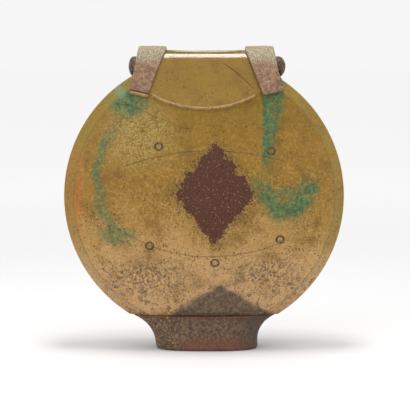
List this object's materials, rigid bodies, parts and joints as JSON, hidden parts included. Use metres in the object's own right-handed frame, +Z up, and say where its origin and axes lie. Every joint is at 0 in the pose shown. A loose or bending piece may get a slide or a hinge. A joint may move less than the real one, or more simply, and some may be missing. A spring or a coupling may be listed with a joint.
{
  "type": "pilgrim flask",
  "caption": "Flat, round-bodied slab-built stoneware flask with an oval flared foot, a slotted saddle-topped neck, flat strap lugs and round end pegs.",
  "frame": {"origin": "on the table at the middle of the whole flask, straight under the centre of its round body", "axes": "+Z up, +X to the right as seen from the front, and the front face looks along -Y"},
  "size_m": [0.364, 0.124, 0.397],
  "materials": {
    "ochre_glaze": "glossy amber and ochre ash glaze with green runs over brown stoneware",
    "toasted_clay": "matte bare stoneware, toasted grey-brown and pinkish by the kiln",
    "ash_clay": "matte bare stoneware with a thin dry crackled ash",
    "iron_clay": "matte iron-brown bare stoneware"
  },
  "bodies": {
    "root": {"front_shell": "ochre_glaze", "back_shell": "ochre_glaze", "left_side_band": "ochre_glaze", "right_side_band": "ochre_glaze", "front_neck_slab": "ochre_glaze", "back_neck_slab": "ochre_glaze", "left_neck_end": "ochre_glaze", "right_neck_end": "ochre_glaze", "floor_slab": "toasted_clay", "foot_collar": "toasted_clay", "left_strap": "ash_clay", "right_strap": "ash_clay", "left_peg": "iron_clay", "right_peg": "iron_clay", "front_neck_bead": "iron_clay", "back_neck_bead": "iron_clay", "left_front_root_coil": "iron_clay", "right_front_root_coil": "iron_clay", "left_back_root_coil": "iron_clay", "right_back_root_coil": "iron_clay"}
  },
  "joints": []
}
